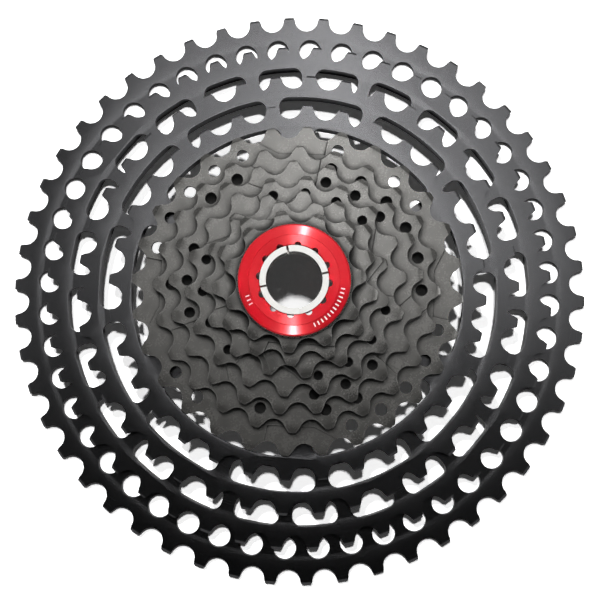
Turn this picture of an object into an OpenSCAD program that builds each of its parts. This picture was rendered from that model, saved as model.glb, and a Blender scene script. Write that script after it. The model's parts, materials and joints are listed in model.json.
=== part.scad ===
// Eleven-speed bicycle cassette, lying on its back with the axis on +Z.
// The four largest tooth rings are one machined alloy piece; seven stamped steel
// sprockets, spacers, rivets, a lock washer, a lockring and a split plug stack on it.

/* [Chain] */
// Chain pitch
chain_pitch = 12.7; // [12.5:0.05:12.9]
// Diameter of the chain roller that sits in a gullet
roller_d = 7.77; // [7.5:0.01:8]
// Axial distance from one sprocket to the next
step_z = 3.9; // [3.75:0.05:4]

/* [Alloy cluster] */
// Thickness of a toothed alloy rim
rim_t = 2.2; // [1.9:0.05:2.4]
// How far the web lies below the front of its rim
web_drop = 0.2; // [0.1:0.05:0.4]
// Radial width of the flat rim below the gullets
rim_w = 2.45; // [2:0.05:2.8]
// Radial width of the bevel between rim and web
bevel_w = 2; // [1.4:0.1:2.4]
// Distance from the gullets to the windows below them
slot_edge = 3.2; // [3:0.05:3.6]
// Radial thickness of the hoop that joins one ring to the next
hoop_w = 2.35; // [1.8:0.05:2.4]
// Height of a tooth tip above the pitch circle on the largest ring
outer_addendum = 1.47; // [1:0.01:1.6]
// Height of a tooth tip above the pitch circle on the other alloy rings
inner_addendum = 0.95; // [0.7:0.01:1.2]
// Width of a tooth at its tip on the largest ring
outer_tip_w = 3.2; // [2.8:0.1:3.8]
// Width of a tooth at its tip on the other alloy rings
inner_tip_w = 2.7; // [2.2:0.1:3.4]
// Radius of an alloy gullet
alloy_gullet_r = 4.25; // [4:0.05:4.4]
// Depth of a shift ramp in an alloy ring
alloy_ramp_depth = 0.32; // [0.24:0.02:0.5]

/* [Windows] */
// Round holes in the first web
hole_count = 48; // [40:1:48]
// Diameter of those holes
hole_d = 8; // [6.5:0.1:8.4]
// Slots in the second web
mid_slots = 24; // [20:1:26]
// Angle each second-web slot covers
mid_slot_angle = 11.6; // [9:0.1:12]
// Slots in the third web
long_slots = 12; // [10:1:12]
// Angle each third-web slot covers
long_slot_angle = 26; // [20:0.5:26.5]
// Arms of the spider that carries the cluster
arm_count = 6; // [5:1:6]
// Angle of the gap between two arms
arm_gap_angle = 49; // [40:1:52]
// Radial length of that gap
arm_gap_l = 19; // [14:0.5:20]
// Corner radius of the slots
corner_r = 3.2; // [2.4:0.1:3.4]

/* [Steel sprockets] */
// Thickness of a steel sprocket
steel_t = 1.7; // [1.5:0.05:1.9]
// Height of a tooth tip above the pitch circle
steel_addendum = 0.4; // [0.2:0.05:1]
// Width of a steel tooth at its tip
steel_tip_w = 1.7; // [1.4:0.1:2.4]
// Radius of a steel gullet
steel_gullet_r = 4.05; // [3.95:0.05:4.2]
// Diameter of the largest sprocket's lightening holes, below its teeth
drill_d = 4.2; // [3.2:0.1:4.4]
// How much smaller the holes are on each sprocket in front of it
drill_step = 0.4; // [0.2:0.05:0.5]
// Depth of a shift ramp
ramp_depth = 0.5; // [0.3:0.05:0.7]
// Radial reach of a shift ramp below the gullets
ramp_reach = 5.3; // [4:0.1:5.6]
// Wall between the spacer's edge and the hidden windows of the wide sprockets
window_wall = 2.5; // [2:0.1:3]

/* [Freehub fit] */
// Wall of the smallest sprocket between a gullet and a spline groove
cog_wall = 1.2; // [1:0.05:1.4]
// Depth of a spline groove
groove_depth = 1.5; // [1.2:0.05:1.7]
// Width of a spline groove
groove_w = 2.6; // [2:0.1:2.7]
// Width of the one narrow indexing groove
index_w = 1.8; // [1.4:0.1:2]
// Wall of the freehub body between its thread and its splines
body_wall = 0.65; // [0.5:0.05:0.9]
// Height of the face that seats on the freehub shoulder
seat_z = 5; // [4:0.1:6]
// Width of that face beyond the hub
seat_w = 3; // [2:0.1:3.4]

/* [Spacers and rivets] */
// Radial clearance between a spacer and the spline grooves
spacer_gap = 0.15; // [0.1:0.05:0.3]
// Wall of a loose spacer
spacer_wall = 1.7; // [1.4:0.1:2]
// Diameter of a rivet
rivet_d = 2.6; // [2:0.1:2.8]
// How far a rivet head reaches beyond its shank
rivet_lip = 0.7; // [0.5:0.1:0.9]
// Height of a rivet head
head_t = 0.7; // [0.5:0.1:1]
// Clearance from a rivet head to the loose spacer and the hub
rivet_gap = 0.4; // [0.3:0.05:0.6]
// Wall of a block spacer outside the rivets
rivet_wall = 1; // [0.8:0.1:1.4]

/* [Lockring] */
// How far the flange reaches beyond the thread
flange_lip = 2.55; // [2.2:0.05:2.7]
// Thickness of the lockring flange
flange_t = 2; // [1.6:0.1:2.6]
// Pitch of the thread
thread_pitch = 1.058; // [0.9:0.001:1.2]
// Depth of the thread
thread_h = 0.55; // [0.4:0.05:0.7]
// Length of the threaded tube below the flange
tube_l = 4.6; // [4.2:0.1:4.7]
// Diameter of the tool socket between its notches
socket_d = 22.1; // [21.6:0.1:22.4]
// Length of the socket below the flange
socket_l = 3; // [2.4:0.1:3.2]
// Diameter of a tool notch
notch_d = 2.3; // [1.8:0.1:2.5]
// Width of the sloped outer band of the flange
band_w = 3.3; // [2.6:0.1:3.8]
// Thickness of the lock washer
washer_t = 0.8; // [0.6:0.05:1]
// How far the washer reaches beyond the flange
washer_lip = 0.4; // [0.2:0.05:0.5]
// Radial clearance of the washer on the thread
washer_gap = 0.3; // [0.2:0.05:0.4]

/* [Plug] */
// Wall of the split plug
plug_wall = 2; // [1.6:0.1:2.4]
// Length of the split plug
plug_l = 6; // [4:0.1:7]
// Width of a slit in the plug
slit_w = 0.7; // [0.4:0.1:1]

/* [Hidden] */
$fn = 96;
eps = 0.5;
// Clearance between parts that come apart
seat_gap = 0.02;
// Radial clearance of the plug in the socket
plug_gap = 0.07;
// Clearance of a rivet in its hole
rivet_play = 0.1;
// Straight pieces that round one corner of a slot
corner_steps = 6;
notches = 12;
splines = 9;
rivets = 3;
serrations = 60;
// Tooth counts, from the largest ring to the smallest sprocket
TEETH = [50, 44, 38, 32, 28, 24, 21, 18, 15, 13, 11];
// Clock angle of the first tooth of each, measured from +Y
PHASE = [5.45, 4.7, 3.75, 3.4, 3.8, 1.5, 16.1, 6, 5.3, 16.3, 21.4];
// Shift ramps around each
RAMPS = [6, 4, 6, 4, 4, 3, 3, 3, 3, 2, 0];
// Clock angle of the radial edge that ends the first ramp of each
RAMP_EDGE = [45.05, 46, 40, 13.5, 12, 11, 11, 97, 12, 24, 0];
// Teeth without a lightening hole on the drilled sprockets
SOLID_28 = [0, 2, 5, 6, 7, 13, 14, 15, 16, 19, 20, 21, 27];
SOLID_24 = [0, 7, 8, 9, 12, 14, 15, 16, 17, 19, 20, 23];
SOLID_21 = [3, 4, 5, 6, 10, 11, 12, 13, 17, 18, 19, 20];
SOLID_18 = [3, 4, 9, 10, 15, 16];
D_RING = 3;
LAST = len(TEETH) - 1;
// The riveted block ends with this sprocket
BLOCK_END = 7;
web_t = rim_t - web_drop;
spacer_t = step_z - steel_t;
groove_r = root_r(LAST) - cog_wall;
spline_r = groove_r - groove_depth;
thread_d = 2 * (spline_r - body_wall);
spacer_bore_r = groove_r + spacer_gap;
loose_spacer_r = spacer_bore_r + spacer_wall;
hub_r = loose_spacer_r;
rivet_circle_r = loose_spacer_r + rivet_gap + rivet_lip + rivet_d / 2;
block_spacer_r = rivet_circle_r + rivet_d / 2 + rivet_wall;
flange_d = thread_d + 2 * flange_lip;
washer_d = flange_d + 2 * washer_lip;
lock_z = back_z(LAST) + steel_t;
washer_z = lock_z + seat_gap;
flange_z = washer_z + washer_t + seat_gap;
lock_top = flange_z + flange_t;
plug_r = socket_d / 2 - plug_gap;

// Radii and heights of ring k
function pitch_r(k) = chain_pitch / 2 / sin(180 / TEETH[k]);
function root_r(k) = pitch_r(k) - roller_d / 2;
function addendum(k) = k == 0 ? outer_addendum : k <= D_RING ? inner_addendum : steel_addendum;
function tip_r(k) = pitch_r(k) + addendum(k);
function back_z(k) = k * step_z;
function bevel_out(k) = root_r(k) - rim_w;
function bevel_in(k) = bevel_out(k) - bevel_w;
function window_r(k) = root_r(k) - slot_edge;
// The hoop that joins ring k to the ring in front of it
function hoop_out(k) = root_r(k + 1) - 0.45;
function hoop_in(k) = hoop_out(k) - hoop_w;
// Turns a clock angle into a turn about +Z
function clock(angle) = 90 - angle;

// Flat outline of one gullet: a round seat and a mouth that widens to the tooth tips
module gullet_shape(k, gullet_r, tip_w) {
    seat_r = root_r(k) + gullet_r;
    half_mouth = (360 / TEETH[k] * PI / 180 * tip_r(k) - tip_w) / 2;
    rise = tip_r(k) - seat_r;
    reach = norm([rise, half_mouth]);
    touch = atan2(half_mouth, rise) + acos(gullet_r / reach);
    inside = 0.96 * gullet_r;
    start = [seat_r + inside * cos(touch), inside * sin(touch)];
    tip = [tip_r(k), half_mouth];
    far = tip + 1.2 * (tip - start);
    translate([seat_r, 0])
        circle(r = gullet_r);
    polygon([start, far, [far.x, -far.y], [start.x, -start.y]]);
}

// All gullets of ring k, cut between two heights
module gullets(k, gullet_r, tip_w, thickness) {
    for (i = [0 : TEETH[k] - 1])
        rotate(clock(PHASE[k] + (i + 0.5) * 360 / TEETH[k]))
            translate([0, 0, back_z(k) - eps])
                linear_extrude(thickness + 2 * eps)
                    gullet_shape(k, gullet_r, tip_w);
}

// Shift ramps: shallow recesses in the front, each from a slanted start to a radial edge
module ramps(k, thickness, inner_r, depth, outer_span, inner_span) {
    pitch = 360 / TEETH[k];
    outer_r = tip_r(k) / cos(outer_span * pitch / 2) + 1;
    if (RAMPS[k] > 0)
        for (i = [0 : RAMPS[k] - 1])
            rotate(clock(RAMP_EDGE[k] + ramp_turn(k, i)))
                translate([0, 0, back_z(k) + thickness - depth])
                    linear_extrude(depth + eps)
                        polygon([at(inner_r, 0),
                                 at(outer_r, 0),
                                 at(outer_r, outer_span * pitch),
                                 at(inner_r, inner_span * pitch)]);
}
// The largest ring's ramps keep to whole teeth
function ramp_turn(k, i) = k == 0 ? round(i * TEETH[k] / RAMPS[k]) * 360 / TEETH[k]
                                  : i * 360 / RAMPS[k];

// Slot between two radii, with rounded corners, centred on the X axis
module arc_slot(inner_r, outer_r, angle) {
    half = angle / 2;
    in_trim = half - asin(corner_r / (inner_r + corner_r));
    out_trim = half - asin(corner_r / (outer_r - corner_r));
    arc_steps = ceil(half / 2);
    upper = concat(
        [for (i = [0 : arc_steps]) at(outer_r, out_trim * i / arc_steps)],
        [for (i = [1 : corner_steps])
            at(outer_r - corner_r, out_trim)
            + at(corner_r, out_trim + (half + 90 - out_trim) * i / corner_steps)],
        [for (i = [0 : corner_steps - 1])
            at(inner_r + corner_r, in_trim)
            + at(corner_r, half + 90 + (in_trim + 90 - half) * i / corner_steps)],
        [for (i = [0 : arc_steps]) at(inner_r, in_trim * (1 - i / arc_steps))]);
    last = len(upper) - 1;
    lower = [for (i = [last - 1 : -1 : 1]) [upper[i].x, -upper[i].y]];
    polygon(concat(upper, lower));
}

function at(radius, angle) = [radius * cos(angle), radius * sin(angle)];

// Splined bore: round lands with nine grooves, one of them narrow
module spline_bore(low, high) {
    translate([0, 0, low])
        cylinder(r = spline_r, h = high - low);
    for (i = [0 : splines - 1])
        rotate(clock(i * 360 / splines))
            translate([0, -(i == 0 ? index_w : groove_w) / 2, low])
                cube([groove_r, i == 0 ? index_w : groove_w, high - low]);
}

// Section of ring k's toothed rim, from tip to web, front corner first
function rim_section(k) = [
    [tip_r(k) - 0.9, back_z(k)],
    [tip_r(k), back_z(k) + 0.5],
    [tip_r(k), back_z(k) + rim_t - 0.6],
    [tip_r(k) - 0.9, back_z(k) + rim_t],
    [bevel_out(k), back_z(k) + rim_t],
    [bevel_in(k), back_z(k) + web_t]];

function cluster_section() = concat(
    [[hoop_in(0), 0]],
    [for (k = [0 : D_RING - 1]) each concat(rim_section(k),
        [[hoop_out(k), back_z(k) + web_t], [hoop_out(k), back_z(k + 1)]])],
    rim_section(D_RING),
    [[hub_r, back_z(D_RING) + web_t],
     [hub_r, back_z(D_RING + 1) - seat_gap],
     [spline_r - 1, back_z(D_RING + 1) - seat_gap],
     [spline_r - 1, seat_z],
     [hub_r + seat_w, seat_z],
     [hub_r + seat_w + 1.5, back_z(D_RING)],
     [hoop_in(D_RING - 1), back_z(D_RING)]],
    [for (k = [D_RING - 1 : -1 : 1]) each
        [[hoop_in(k), back_z(k)], [hoop_in(k - 1), back_z(k)]]]);

module alloy_cluster() {
    color("#2c2c2f")
        difference() {
            rotate_extrude()
                polygon(cluster_section());
            for (k = [0 : D_RING])
                gullets(k, alloy_gullet_r, k == 0 ? outer_tip_w : inner_tip_w, rim_t);
            ramps(0, rim_t, root_r(0) + 1.3, alloy_ramp_depth, 1, 1);
            for (k = [1 : D_RING])
                ramps(k, rim_t, bevel_out(k) + 0.2, alloy_ramp_depth, 2.7, 1.7);
            for (i = [0 : hole_count - 1])
                rotate(clock(2.9 + i * 360 / hole_count))
                    translate([window_r(0) - hole_d / 2, 0, -eps])
                        cylinder(d = hole_d, h = rim_t + 2 * eps);
            web_slots(1, mid_slots, mid_slot_angle, 10.5, window_r(1), hoop_out(1) + 1.3);
            web_slots(2, long_slots, long_slot_angle, 7.5, window_r(2), hoop_out(2) + 1.3);
            web_slots(D_RING, arm_count, arm_gap_angle, 30,
                      window_r(D_RING), window_r(D_RING) - arm_gap_l);
            spline_bore(seat_z - eps, back_z(D_RING + 1) + eps);
        }
}

module web_slots(k, count, angle, first, outer_r, inner_r) {
    for (i = [0 : count - 1])
        rotate(clock(first + i * 360 / count))
            translate([0, 0, back_z(k) - eps])
                linear_extrude(rim_t + 2 * eps)
                    arc_slot(inner_r, outer_r, angle);
}

// Stamped steel sprocket k with its teeth, ramps, holes and splined bore
module steel_sprocket(k, solid_teeth = []) {
    low = back_z(k);
    color("#8f8e86")
        difference() {
            rotate_extrude()
                polygon([[spline_r - 1, low],
                         [tip_r(k) - 1.6, low],
                         [tip_r(k), low + 0.45],
                         [tip_r(k), low + steel_t - 0.7],
                         [tip_r(k) - 1.6, low + steel_t],
                         [spline_r - 1, low + steel_t]]);
            gullets(k, steel_gullet_r, steel_tip_w, steel_t);
            ramps(k, steel_t, max(root_r(k) - ramp_reach, loose_spacer_r + spacer_wall),
                  ramp_depth, 2.7, 1.5);
            if (len(solid_teeth) > 0)
                tooth_holes(k, solid_teeth);
            if (k <= D_RING + 2)
                inner_windows(k);
            if (k <= BLOCK_END)
                rivet_holes(low - eps, low + steel_t + eps);
            spline_bore(low - eps, low + steel_t + eps);
        }
}

// Drilled holes below the teeth, left out near the ramps
module tooth_holes(k, solid_teeth) {
    hole = drill_d - (k - D_RING - 1) * drill_step;
    for (i = [0 : TEETH[k] - 1])
        if (len(search(i, solid_teeth)) == 0)
            rotate(clock(PHASE[k] + i * 360 / TEETH[k]))
                translate([root_r(k) - 0.62 * hole, 0, back_z(k) - eps])
                    cylinder(d = hole, h = steel_t + 2 * eps);
}

// Large windows that lighten the two widest sprockets, hidden by the ones in front
module inner_windows(k) {
    for (i = [0 : arm_count - 1])
        rotate(clock(30 + i * 360 / arm_count))
            translate([0, 0, back_z(k) - eps])
                linear_extrude(steel_t + 2 * eps)
                    arc_slot(block_spacer_r + window_wall, root_r(k + 1) - ramp_reach, arm_gap_angle - 5);
}

module rivet_holes(low, high) {
    for (i = [0 : rivets - 1])
        rotate(clock(i * 360 / rivets))
            translate([rivet_circle_r, 0, low])
                cylinder(d = rivet_d + rivet_play, h = high - low);
}

module sprocket_28() { steel_sprocket(4, SOLID_28); }
module sprocket_24() { steel_sprocket(5, SOLID_24); }
module sprocket_21() { steel_sprocket(6, SOLID_21); }
module sprocket_18() { steel_sprocket(7, SOLID_18); }
module sprocket_15() { steel_sprocket(8); }
module sprocket_13() { steel_sprocket(9); }

// The smallest sprocket carries its own spacer boss behind it
module sprocket_11() {
    steel_sprocket(LAST);
    color("#8f8e86")
        difference() {
            translate([0, 0, back_z(LAST) - spacer_t + seat_gap])
                cylinder(r = groove_r + 0.7 * cog_wall, h = spacer_t);
            spline_bore(back_z(LAST - 1), back_z(LAST) + eps);
        }
}

// Spacer ring in front of sprocket k
module spacer(k, outer_r, gap) {
    low = back_z(k) + steel_t + gap;
    color("#232326")
        difference() {
            translate([0, 0, low])
                cylinder(r = outer_r, h = spacer_t - gap);
            translate([0, 0, low - eps])
                cylinder(r = spacer_bore_r, h = spacer_t + 2 * eps);
            if (outer_r > rivet_circle_r)
                rivet_holes(low - eps, low + spacer_t + eps);
        }
}

module spacer_28_24() { spacer(4, block_spacer_r, 0); }
module spacer_24_21() { spacer(5, block_spacer_r, 0); }
module spacer_21_18() { spacer(6, block_spacer_r, 0); }
module spacer_18_15() { spacer(7, loose_spacer_r, seat_gap); }
module spacer_15_13() { spacer(8, loose_spacer_r, seat_gap); }

// Three long rivets through the 28 to 18 block, headed at both ends
module block_rivets() {
    low = back_z(D_RING + 1);
    high = back_z(BLOCK_END) + steel_t;
    color("#a5a49c")
        for (i = [0 : rivets - 1])
            rotate(clock(i * 360 / rivets))
                translate([rivet_circle_r, 0, 0]) {
                    translate([0, 0, low - head_t])
                        cylinder(d = rivet_d, h = high - low + 2 * head_t);
                    translate([0, 0, low - head_t])
                        cylinder(d = rivet_d + 2 * rivet_lip, h = head_t);
                    translate([0, 0, high])
                        cylinder(d = rivet_d + 2 * rivet_lip, h = head_t);
                }
}

// Thin washer with a serrated edge, between the smallest sprocket and the lockring
module lock_washer() {
    color("#3a3836")
        difference() {
            translate([0, 0, washer_z])
                cylinder(d = washer_d, h = washer_t);
            translate([0, 0, washer_z - eps])
                cylinder(d = thread_d + 2 * washer_gap, h = washer_t + 2 * eps);
            for (i = [0 : serrations - 1])
                rotate(i * 360 / serrations)
                    translate([washer_d / 2 + 0.25, 0, washer_z - eps])
                        rotate(45)
                            cube([0.9, 0.9, 2 * washer_t + 4 * eps], center = true);
        }
}

// Section of the lockring: stepped flange, threaded tube, tool socket and wider bore below it
function lockring_section() = concat(
    [[socket_d / 2, lock_top - 0.3],
     [socket_d / 2, flange_z - socket_l],
     [socket_d / 2 + 1.6, flange_z - socket_l - 0.8],
     [socket_d / 2 + 1.6, flange_z - tube_l],
     [thread_d / 2 - thread_h - 0.05, flange_z - tube_l]],
    [for (i = [0 : floor((tube_l - 1.3) / thread_pitch) - 1]) each
        [[thread_d / 2 - thread_h, flange_z - tube_l + 0.3 + i * thread_pitch],
         [thread_d / 2, flange_z - tube_l + 0.3 + (i + 0.5) * thread_pitch]]],
    [[thread_d / 2 - thread_h, flange_z - 1],
     [thread_d / 2 - thread_h, flange_z],
     [flange_d / 2, flange_z],
     [flange_d / 2, lock_top - 0.9],
     [flange_d / 2 - 0.5, lock_top - 0.45],
     [flange_d / 2 - band_w, lock_top - 0.2],
     [flange_d / 2 - band_w - 0.2, lock_top],
     [socket_d / 2 + 0.3, lock_top]]);

module lockring() {
    color("#c5101d")
        difference() {
            rotate_extrude()
                polygon(lockring_section());
            for (i = [0 : notches - 1])
                rotate(clock(6 + i * 360 / notches))
                    translate([socket_d / 2, 0, flange_z - socket_l - 0.8 - eps])
                        cylinder(d = notch_d, h = flange_t + socket_l + 0.8 + 2 * eps);
        }
}

// White split bush that fills the lockring socket
module split_plug() {
    low = lock_top - plug_l;
    color("#efeee8")
        difference() {
            translate([0, 0, low])
                cylinder(r = plug_r, h = plug_l);
            translate([0, 0, low - eps])
                cylinder(r = plug_r - plug_wall, h = plug_l + 2 * eps);
            for (i = [0 : 3])
                rotate(clock(78 + i * 90))
                    translate([plug_r - plug_wall - 1, -slit_w / 2, low + 1.5])
                        cube([plug_wall + 2, slit_w, plug_l]);
        }
}

alloy_cluster();
sprocket_28();
sprocket_24();
sprocket_21();
sprocket_18();
sprocket_15();
sprocket_13();
sprocket_11();
spacer_28_24();
spacer_24_21();
spacer_21_18();
spacer_18_15();
spacer_15_13();
block_rivets();
lock_washer();
lockring();
split_plug();
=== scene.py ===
"""Eleven-speed bicycle cassette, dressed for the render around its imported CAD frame."""
import json
import math

import bpy
import bmesh
from mathutils import Matrix, Vector

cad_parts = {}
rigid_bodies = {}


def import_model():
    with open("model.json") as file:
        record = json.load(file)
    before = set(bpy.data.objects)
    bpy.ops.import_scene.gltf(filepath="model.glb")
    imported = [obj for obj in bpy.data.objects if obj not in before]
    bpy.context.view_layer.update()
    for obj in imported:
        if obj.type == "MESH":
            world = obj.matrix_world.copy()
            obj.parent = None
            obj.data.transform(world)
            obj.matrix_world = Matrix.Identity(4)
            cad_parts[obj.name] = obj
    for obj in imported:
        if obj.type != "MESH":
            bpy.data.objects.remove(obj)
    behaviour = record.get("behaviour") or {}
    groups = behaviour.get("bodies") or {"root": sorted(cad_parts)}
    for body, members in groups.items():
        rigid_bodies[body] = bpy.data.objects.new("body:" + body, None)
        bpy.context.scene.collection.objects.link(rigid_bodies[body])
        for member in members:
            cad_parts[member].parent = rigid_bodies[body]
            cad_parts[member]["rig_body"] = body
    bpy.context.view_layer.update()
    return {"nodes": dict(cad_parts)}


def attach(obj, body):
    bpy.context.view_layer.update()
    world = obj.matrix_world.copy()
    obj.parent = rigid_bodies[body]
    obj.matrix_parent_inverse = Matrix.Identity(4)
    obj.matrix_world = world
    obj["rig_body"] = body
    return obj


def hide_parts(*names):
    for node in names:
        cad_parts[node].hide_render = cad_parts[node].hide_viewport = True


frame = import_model()


# Alloy cluster: the four largest tooth rings, turned and milled from one billet and
# anodised black, with faint turning lines and slightly paler edges. It carries the rest
# of the stack on its hub.
MM = 0.001
ANODISED_BLACK = (0.056, 0.056, 0.058, 1)
PALER_EDGE = (0.09, 0.09, 0.093, 1)
GRAZING_TINT = (0.5, 0.5, 0.5, 1)
CLUSTER_LINES = 9000
FIRST_WEAR = 0.02
GRAIN_DEPTH = 0.02 * MM
SAME_POINT = 0.0005 * MM
SAME_PLANE = math.radians(0.5)
SHARP = math.radians(16)


class Wire:
    """One output socket that takes part in arithmetic; each sign adds a Math node."""

    def __init__(self, finish, socket):
        self.finish = finish
        self.socket = socket

    def __add__(self, other):
        return self.finish.math("ADD", self, other)

    def __radd__(self, other):
        return self.finish.math("ADD", other, self)

    def __rsub__(self, other):
        return self.finish.math("SUBTRACT", other, self)

    def __mul__(self, other):
        return self.finish.math("MULTIPLY", self, other)

    def __rmul__(self, other):
        return self.finish.math("MULTIPLY", other, self)

    def __truediv__(self, other):
        return self.finish.math("DIVIDE", self, other)

    def __lt__(self, other):
        return self.finish.math("LESS_THAN", self, other)

    def __gt__(self, other):
        return self.finish.math("GREATER_THAN", self, other)


class Finish:
    """The nodes of one material, or of the room, which all come from the make method."""

    def __init__(self, holder):
        holder.use_nodes = True
        self.tree = holder.node_tree
        self.tree.nodes.clear()

    def make(self, kind, settings=None, inputs=None, output=0):
        node = self.tree.nodes.new(kind)
        for name, value in (settings or {}).items():
            setattr(node, name, value)
        for name, value in (inputs or {}).items():
            if isinstance(value, Wire):
                self.tree.links.new(value.socket, node.inputs[name])
            else:
                node.inputs[name].default_value = value
        return Wire(self, node.outputs[output]) if node.outputs else None

    def math(self, operation, *values):
        return self.make("ShaderNodeMath", {"operation": operation}, dict(enumerate(values)))

    def mix(self, amount, low, high):
        return self.make("ShaderNodeMix", {"data_type": "RGBA"}, {0: amount, 6: low, 7: high}, 2)

    def ramp(self, value, start, end):
        return self.make("ShaderNodeMapRange", None,
                         {"Value": value, "From Min": start, "From Max": end})

    def place(self):
        return self.make("ShaderNodeTexCoord", output="Object")

    def along(self, axis, vector):
        return self.make("ShaderNodeSeparateXYZ", None, {0: vector}, axis)

    def radius(self):
        x = self.along("X", self.place())
        y = self.along("Y", self.place())
        return self.math("SQRT", x * x + y * y)

    def noise(self, scale, detail):
        return self.make("ShaderNodeTexNoise", None,
                         {"Vector": self.place(), "Scale": scale, "Detail": detail})

    def turning_lines(self, per_metre, detail):
        return self.make("ShaderNodeTexNoise", {"noise_dimensions": "1D"},
                         {"W": self.radius() * per_metre, "Scale": 1.0, "Detail": detail})

    def edges(self, width, full_wear):
        rounded = self.make("ShaderNodeBevel", {"samples": 4}, {"Radius": width})
        flat = self.make("ShaderNodeNewGeometry", output="Normal")
        agreement = self.make("ShaderNodeVectorMath", {"operation": "DOT_PRODUCT"},
                              {0: rounded, 1: flat}, "Value")
        return self.ramp(1 - agreement, FIRST_WEAR, full_wear)

    def bump(self, height, strength):
        return self.make("ShaderNodeBump", None,
                         {"Height": height, "Strength": strength, "Distance": GRAIN_DEPTH})

    def surface(self, **inputs):
        shader = self.make("ShaderNodeBsdfPrincipled", None,
                           {name.replace("_", " "): value for name, value in inputs.items()})
        self.make("ShaderNodeOutputMaterial", None, {"Surface": shader})


def new_finish(name):
    material = bpy.data.materials.new(name)
    return material, Finish(material)


def stand(name, data):
    thing = bpy.data.objects.new(name, data)
    bpy.context.scene.collection.objects.link(thing)
    return thing


def dress(node, material, edge_break=0.0):
    """A copy of a node: merged, its flats joined, its sharp edges broken if a width is given."""
    source = frame["nodes"][node]
    shape = bmesh.new()
    shape.from_mesh(source.data)
    bmesh.ops.remove_doubles(shape, verts=shape.verts, dist=SAME_POINT)
    bmesh.ops.dissolve_limit(shape, angle_limit=SAME_PLANE, verts=shape.verts, edges=shape.edges)
    bmesh.ops.triangulate(shape, faces=shape.faces)
    sharp = [e for e in shape.edges if len(e.link_faces) == 2 and e.calc_face_angle() > SHARP]
    if edge_break:
        bmesh.ops.bevel(shape, geom=sharp, offset=edge_break, offset_type="OFFSET", affect="EDGES",
                        segments=1, profile=0.5, material=-1, clamp_overlap=True)
    bmesh.ops.triangulate(shape, faces=[f for f in shape.faces if len(f.verts) > 4])
    for face in shape.faces:
        face.smooth = True
        face.material_index = 0
    for edge in shape.edges:
        edge.smooth = len(edge.link_faces) == 2 and edge.calc_face_angle() < SHARP
    mesh = bpy.data.meshes.new(node + "_dressed")
    shape.to_mesh(mesh)
    shape.free()
    mesh.materials.append(material)
    piece = stand(node + "_dressed", mesh)
    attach(piece, source["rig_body"])
    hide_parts(node)
    return piece


black_alloy, finish = new_finish("black_alloy")
turning = finish.turning_lines(CLUSTER_LINES, 1.0)
cloud = finish.noise(90, 3)
wear = finish.edges(0.25 * MM, 0.25)
finish.surface(
    Base_Color=finish.mix(wear * 0.5, ANODISED_BLACK, PALER_EDGE),
    Metallic=1.0,
    Specular_Tint=GRAZING_TINT,
    Roughness=0.21 + 0.05 * turning + 0.04 * cloud,
    Normal=finish.bump(turning, 0.08),
)
dress("alloy_cluster", black_alloy)


# Steel sprockets: stamped plates, tumbled and plated dark, so the faces are satin and
# the edges are rubbed brighter. Painted shade turns the colour black, and the surface matt,
# where one plate overhangs the next. They slide on one spline.
PLATE_DARK = (0.05, 0.049, 0.046, 1)
PLATE_PALE = (0.13, 0.127, 0.12, 1)
RUBBED_EDGE = (0.3, 0.296, 0.284, 1)
# The black of the painted shade in the overhung corners, and how far from a near surface it reaches.
PAINTED_SHADE = (0.003, 0.003, 0.003, 1)
PAINTED_SHADE_REACH = 4 * MM
PLATE_EDGE = 0.45 * MM

sprocket_steel, finish = new_finish("sprocket_steel")
grain = finish.noise(1400, 2)
cloud = finish.noise(220, 4)
wear = finish.edges(0.3 * MM, 0.3)
# Painted shade: ambient occlusion darkens the base colour toward black and roughens it near
# overhanging plates.
openness = finish.make("ShaderNodeAmbientOcclusion", {"samples": 8}, {"Distance": PAINTED_SHADE_REACH}, "AO")
clear_of_painted_shade = finish.ramp(openness, 0.57, 0.92)
plate = finish.mix(wear * 0.8, finish.mix(cloud, PLATE_DARK, PLATE_PALE), RUBBED_EDGE)
finish.surface(
    Base_Color=finish.mix(clear_of_painted_shade, PAINTED_SHADE, plate),
    Metallic=0.55,
    Roughness=0.73 - 0.5 * clear_of_painted_shade + 0.04 * cloud + 0.04 * grain,
    Normal=finish.bump(grain, 0.04),
)
for node in sorted(frame["nodes"]):
    if node.startswith("sprocket_"):
        dress(node, sprocket_steel, PLATE_EDGE)


# Spacers: rings of moulded black plastic with a fine matt grain. They sit between the
# steel sprockets and set the distance from one to the next.
SPACER_DARK = (0.016, 0.016, 0.017, 1)
SPACER_PALE = (0.026, 0.026, 0.027, 1)

spacer_plastic, finish = new_finish("spacer_plastic")
grain = finish.noise(2500, 2)
finish.surface(
    Base_Color=finish.mix(grain, SPACER_DARK, SPACER_PALE),
    Roughness=0.5 + 0.12 * grain,
    Normal=finish.bump(grain, 0.2),
)
for node in sorted(frame["nodes"]):
    if node.startswith("spacer_"):
        dress(node, spacer_plastic)


# Rivets: three plain steel pins through the four widest steel sprockets and their
# spacers, headed cold at both ends.
RIVET_DARK = (0.38, 0.38, 0.36, 1)
RIVET_PALE = (0.52, 0.52, 0.5, 1)

rivet_steel, finish = new_finish("rivet_steel")
cloud = finish.noise(900, 3)
finish.surface(
    Base_Color=finish.mix(cloud, RIVET_DARK, RIVET_PALE),
    Metallic=0.95,
    Roughness=0.3 + 0.2 * cloud,
)
dress("block_rivets", rivet_steel)


# Lock washer: a thin ring of blackened steel with a serrated edge, rubbed paler along
# its teeth. It lies under the lockring and bites into the smallest sprocket.
WASHER_DARK = (0.03, 0.028, 0.027, 1)
WASHER_PALE = (0.06, 0.056, 0.054, 1)
WASHER_EDGE = (0.2, 0.19, 0.18, 1)

dark_steel, finish = new_finish("dark_steel")
cloud = finish.noise(700, 3)
wear = finish.edges(0.15 * MM, 0.3)
finish.surface(
    Base_Color=finish.mix(wear, finish.mix(cloud, WASHER_DARK, WASHER_PALE), WASHER_EDGE),
    Metallic=0.8,
    Roughness=0.35 + 0.15 * cloud,
)
dress("lock_washer", dark_steel)


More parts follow.
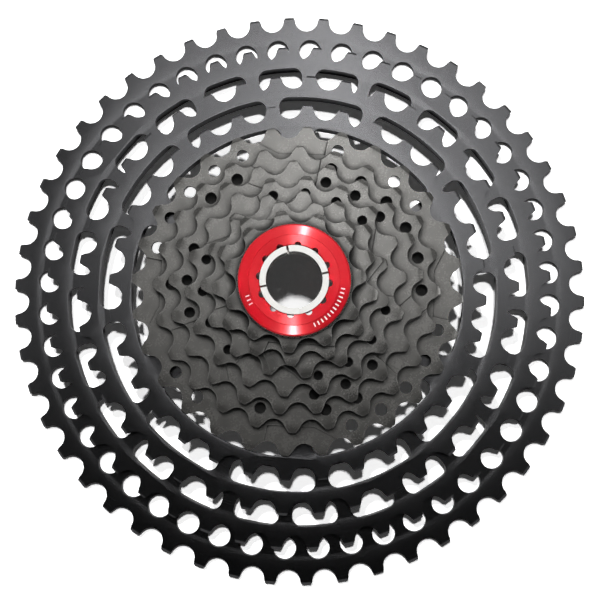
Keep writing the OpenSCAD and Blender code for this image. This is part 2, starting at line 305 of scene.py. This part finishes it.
# Lockring: turned aluminium, anodised red, screwed in over the stack. The fine rings left
# by turning draw a small light out into two bright sectors, and plain white ticks are
# printed on the lower part of its band.
RED_DEEP = (0.4, 0.002, 0.006, 1)
RED_BRIGHT = (0.5, 0.004, 0.012, 1)
PRINT_WHITE = (0.8, 0.78, 0.76, 1)
LOCKRING_LINES = 6000
TICK_STEP = 5
TICK_SHARE = 0.3
WHOLE_STEPS = 100
TICK_INNER = 15.0 * MM
TICK_OUTER = 16.3 * MM

red_alloy, finish = new_finish("red_alloy")
turning = finish.turning_lines(LOCKRING_LINES, 2.0)
radius = finish.radius()
clock = finish.math("ARCTAN2", finish.along("X", finish.place()), finish.along("Y", finish.place()))
degrees = clock * (180 / math.pi)
stroke = finish.math("FRACT", degrees / TICK_STEP + WHOLE_STEPS) < TICK_SHARE
band = (radius > TICK_INNER) * (radius < TICK_OUTER)
lower_right = (degrees > 100) * (degrees < 160)
lower_left = (degrees > -120) * (degrees < -105)
ticks = stroke * band * (lower_right + lower_left)
finish.surface(
    Base_Color=finish.mix(ticks, finish.mix(turning, RED_DEEP, RED_BRIGHT), PRINT_WHITE),
    Metallic=0.14 - 0.14 * ticks,
    Specular_IOR_Level=0.15,
    Roughness=0.19 + 0.04 * turning + 0.2 * ticks,
    Anisotropic=0.95,
    Anisotropic_Rotation=0.25,
    Normal=finish.bump(turning, 0.05),
)
lockring = dress("lockring", red_alloy)


# Split plug: a bush of white moulded plastic with four slits, pressed into the socket of
# the lockring, where it springs against the wall.
PLUG_SHADE = (0.7, 0.695, 0.67, 1)
PLUG_WHITE = (0.78, 0.775, 0.75, 1)

white_plastic, finish = new_finish("white_plastic")
cloud = finish.noise(500, 2)
finish.surface(
    Base_Color=finish.mix(cloud, PLUG_SHADE, PLUG_WHITE),
    Specular_IOR_Level=0.3,
    Roughness=0.38 + 0.1 * cloud,
)
dress("split_plug", white_plastic)


# Floor: a white table under the cassette. Real light and shadow fall on it, it is exposed
# to plain white where the camera sees it lit, and it stays white far from the lamps.
FLOOR_HALF = 3.0
FLOOR_DROP = 0.6 * MM
PAPER = (0.9, 0.9, 0.9, 1)
PAPER_EXPOSED = (1.6, 1.6, 1.6, 1)
PAPER_GLOW = 0.03
GLOW_FROM = 0.17
GLOW_FULL = 0.6

floor_mesh = bpy.data.meshes.new("floor")
shape = bmesh.new()
bmesh.ops.create_grid(shape, x_segments=1, y_segments=1, size=FLOOR_HALF)
bmesh.ops.translate(shape, verts=shape.verts, vec=(0, 0, -FLOOR_DROP))
shape.to_mesh(floor_mesh)
shape.free()
floor = stand("floor", floor_mesh)
table, finish = new_finish("table")
seen = finish.make("ShaderNodeLightPath", output="Is Camera Ray")
matt = finish.make("ShaderNodeBsdfDiffuse", None, {"Color": finish.mix(seen, PAPER, PAPER_EXPOSED)})
away = finish.ramp(finish.radius(), GLOW_FROM, GLOW_FULL)
glow = finish.make("ShaderNodeEmission", None, {"Color": PAPER_GLOW + away, "Strength": seen})
both = finish.make("ShaderNodeAddShader", None, {0: matt, 1: glow})
finish.make("ShaderNodeOutputMaterial", None, {"Surface": both})
floor_mesh.materials.append(table)


# Light: two small lamps high beyond the top of the picture light the table and throw the
# hard shadows. The panels are what the bare metal mirrors: a wide one above the upper half,
# a bright strip in it, one far behind, and three at the sides.
TABLE_CENTRE = (0, 0, 0)
LAMP_SIDE = 0.05


def panel(name, place, aim, width, depth, watts, mirrored):
    lamp = bpy.data.lights.new(name, "AREA")
    lamp.shape = "RECTANGLE"
    lamp.size = width
    lamp.size_y = depth
    lamp.energy = watts
    holder = stand(name, lamp)
    holder.location = place
    holder.rotation_euler = (Vector(aim) - Vector(place)).to_track_quat("-Z", "Y").to_euler()
    holder.visible_glossy = mirrored
    holder.visible_diffuse = not mirrored
    return holder


panel("steep_lamp", (0.02, 0.23, 1.0), TABLE_CENTRE, LAMP_SIDE, LAMP_SIDE, 5.85, False)
panel("slant_lamp", (-0.16, 0.47, 1.0), TABLE_CENTRE, LAMP_SIDE, LAMP_SIDE, 6.6, False)
panel("top_panel", (0.039, 0.311, 0.8), (0.039, 0.311, 0), 0.55, 0.506, 2.5, True)
panel("top_strip", (0.02, 0.311, 0.79), (0.02, 0.311, 0), 0.03, 0.45, 0.8, True)
panel("far_panel", (0.1, 1.2, 0.6), TABLE_CENTRE, 1.4, 0.5, 3.5, True)
panel("left_panel", (-0.55, 0.08, 0.62), TABLE_CENTRE, 0.3, 0.5, 0.45, True)
panel("right_panel", (0.5, 0.05, 0.6), TABLE_CENTRE, 0.2, 0.5, 0.4, True)
panel("right_lamp", (0.68, 0.0, 0.46), TABLE_CENTRE, 0.15, 0.15, 1.2, True)


# Glints: two small lights tied to the lockring alone, above and below it, for the two
# white sectors that its turned rings draw out of them.
LOCKRING_CENTRE = (0, 0, 0.04)
GLINT_SIDE = 0.03

turned = bpy.data.collections.new("turned")
turned.objects.link(lockring)
for name, place, watts in (("upper_glint", (0.054, 0.512, 0.857), 22.0),
                           ("lower_glint", (-0.036, -0.34, 0.94), 34.0)):
    glint = panel(name, place, LOCKRING_CENTRE, GLINT_SIDE, GLINT_SIDE, watts, True)
    glint.light_linking.receiver_collection = turned


# Room: white where the camera looks past the table, dim overhead, and pale low down,
# so that the metal mirrors the white surroundings when it is seen from the side.
ROOM_DIM = 0.015
ROOM_PALE = 0.9
DIM_ABOVE = 0.6
PALE_BELOW = 0.2
WHITE = (1, 1, 1, 1)

world = bpy.data.worlds.new("room")
bpy.context.scene.world = world
finish = Finish(world)
seen = finish.make("ShaderNodeLightPath", output="Is Camera Ray")
mirrored = finish.make("ShaderNodeLightPath", output="Is Glossy Ray")
rise = finish.along("Z", finish.make("ShaderNodeTexCoord", output="Generated"))
low = finish.ramp(rise, DIM_ABOVE, PALE_BELOW)
room = finish.make("ShaderNodeBackground", None,
                   {"Color": ROOM_DIM + ROOM_PALE * mirrored * low, "Strength": 1.0})
white = finish.make("ShaderNodeBackground", None, {"Color": WHITE, "Strength": 1.0})
either = finish.make("ShaderNodeMixShader", None, {0: seen, 1: room, 2: white})
finish.make("ShaderNodeOutputWorld", None, {"Surface": either})


# Picture: the cassette lies on its back and is seen from almost straight above, from
# close by, with the lower edge of the largest ring a little nearer to the lens.
RING_FACE = 2.2 * MM
VIEW_DISTANCE = 329.7 * MM
VIEW_ACROSS = math.sin(math.radians(1.47))
VIEW_DOWN = math.sin(math.radians(5.87))
AIM = Vector((0.88 * MM, -2.56 * MM, RING_FACE))
SENSOR = 36.0
FOCAL = 55.0
NEAR_CLIP = 10 * MM

camera_data = bpy.data.cameras.new("camera")
camera_data.sensor_width = SENSOR
camera_data.lens = FOCAL
camera_data.clip_start = NEAR_CLIP
camera = stand("camera", camera_data)
view_height = math.sqrt(1 - VIEW_ACROSS ** 2 - VIEW_DOWN ** 2)
towards_camera = Vector((VIEW_ACROSS, -VIEW_DOWN, view_height))
camera_place = Vector((0, 0, RING_FACE)) + towards_camera * VIEW_DISTANCE
back = (camera_place - AIM).normalized()
right = Vector((0, 1, 0)).cross(back).normalized()
up = back.cross(right)
turn = Matrix((right, up, back)).transposed().to_4x4()
camera.matrix_world = Matrix.Translation(camera_place) @ turn
bpy.context.scene.camera = camera
bpy.context.scene.view_settings.view_transform = "Standard"
